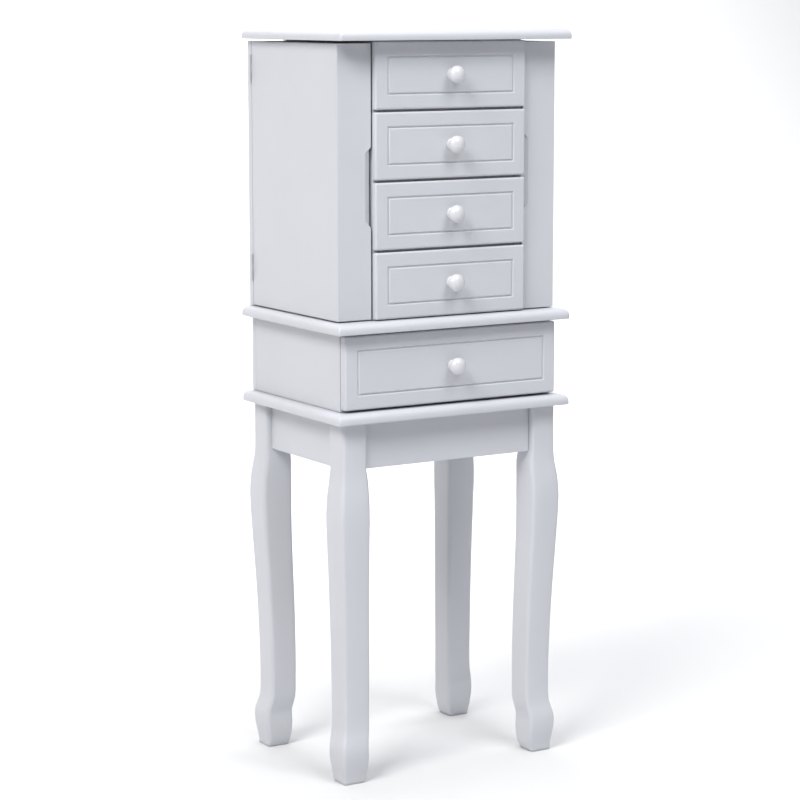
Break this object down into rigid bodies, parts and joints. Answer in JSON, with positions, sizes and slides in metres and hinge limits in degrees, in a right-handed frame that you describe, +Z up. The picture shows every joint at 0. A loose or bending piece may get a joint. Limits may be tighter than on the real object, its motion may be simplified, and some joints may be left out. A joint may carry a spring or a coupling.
{
  "type": "jewelry armoire",
  "caption": "Tall narrow case on curved legs: flip-top lid over a tray, small drawers between swing-out side doors, a wide drawer below.",
  "frame": {"origin": "on the floor, under the middle of the overall box (knob tips to lid hinge)", "axes": "+Z up, the drawer fronts face -Y, +X to the right of someone facing the fronts"},
  "size_m": [0.3246, 0.2506, 0.892],
  "materials": {
    "lacquer": "white satin lacquer over fibreboard and solid wood",
    "box_board": "white lacquered thin board",
    "knob": "white gloss lacquer over turned wood",
    "hook_plastic": "white moulded plastic",
    "felt": "charcoal felt over foam",
    "mirror": "silvered glass",
    "hinge_painted": "white paint over steel",
    "hinge": "nickel plated steel"
  },
  "bodies": {
    "frame": {"leg_front_left": "lacquer", "leg_front_right": "lacquer", "leg_rear_left": "lacquer", "leg_rear_right": "lacquer", "apron_front": "lacquer", "apron_rear": "lacquer", "apron_left": "lacquer", "apron_right": "lacquer", "corner_block_front_left": "lacquer", "corner_block_front_right": "lacquer", "corner_block_rear_left": "lacquer", "corner_block_rear_right": "lacquer", "base_board": "lacquer", "waist_board": "lacquer", "lower_side_left": "lacquer", "lower_side_right": "lacquer", "lower_back": "lacquer", "partition_left": "lacquer", "partition_right": "lacquer", "shelf_1": "lacquer", "shelf_2": "lacquer", "shelf_3": "lacquer", "tray_floor": "lacquer", "tray_front_rail": "lacquer", "tray_divider": "lacquer", "ring_cushion": "felt", "upper_back": "lacquer", "lid_hinge_fixed": "hinge", "door_left_hinge_top_fixed": "hinge_painted", "door_left_hinge_bottom_fixed": "hinge_painted", "door_right_hinge_top_fixed": "hinge_painted", "door_right_hinge_bottom_fixed": "hinge_painted"},
    "lid": {"lid_board": "lacquer", "lid_mirror": "mirror", "lid_hinge_moving": "hinge"},
    "door_left": {"door_left_panel": "lacquer", "door_left_stile": "lacquer", "door_left_hook_rail": "hook_plastic", "door_left_hinge_top_moving": "hinge_painted", "door_left_hinge_bottom_moving": "hinge_painted"},
    "door_right": {"door_right_panel": "lacquer", "door_right_stile": "lacquer", "door_right_hook_rail": "hook_plastic", "door_right_hinge_top_moving": "hinge_painted", "door_right_hinge_bottom_moving": "hinge_painted"},
    "small_drawer_1": {"small_drawer_1_front": "lacquer", "small_drawer_1_box": "box_board", "small_drawer_1_knob": "knob"},
    "small_drawer_2": {"small_drawer_2_front": "lacquer", "small_drawer_2_box": "box_board", "small_drawer_2_knob": "knob"},
    "small_drawer_3": {"small_drawer_3_front": "lacquer", "small_drawer_3_box": "box_board", "small_drawer_3_knob": "knob"},
    "small_drawer_4": {"small_drawer_4_front": "lacquer", "small_drawer_4_box": "box_board", "small_drawer_4_knob": "knob"},
    "large_drawer": {"large_drawer_front": "lacquer", "large_drawer_box": "box_board", "large_drawer_knob": "knob"}
  },
  "joints": [
    {"name": "lid_hinge", "type": "hinge", "parent": "frame", "child": "lid", "pos_m": [0, 0.12365, 0.8785], "axis": [-1, 0, 0], "range_deg": [0, 95]},
    {"name": "door_left_hinge", "type": "hinge", "parent": "frame", "child": "door_left", "pos_m": [-0.1536, 0.11215, 0.716], "axis": [0, 0, -1], "range_deg": [0, 110]},
    {"name": "door_right_hinge", "type": "hinge", "parent": "frame", "child": "door_right", "pos_m": [0.1536, 0.11215, 0.716], "axis": [0, 0, 1], "range_deg": [0, 110]},
    {"name": "small_drawer_1_slide", "type": "slide", "parent": "frame", "child": "small_drawer_1", "axis": [0, -1, 0], "range_m": [0, 0.15]},
    {"name": "small_drawer_2_slide", "type": "slide", "parent": "frame", "child": "small_drawer_2", "axis": [0, -1, 0], "range_m": [0, 0.15]},
    {"name": "small_drawer_3_slide", "type": "slide", "parent": "frame", "child": "small_drawer_3", "axis": [0, -1, 0], "range_m": [0, 0.15]},
    {"name": "small_drawer_4_slide", "type": "slide", "parent": "frame", "child": "small_drawer_4", "axis": [0, -1, 0], "range_m": [0, 0.15]},
    {"name": "large_drawer_slide", "type": "slide", "parent": "frame", "child": "large_drawer", "axis": [0, -1, 0], "range_m": [0, 0.15]}
  ]
}
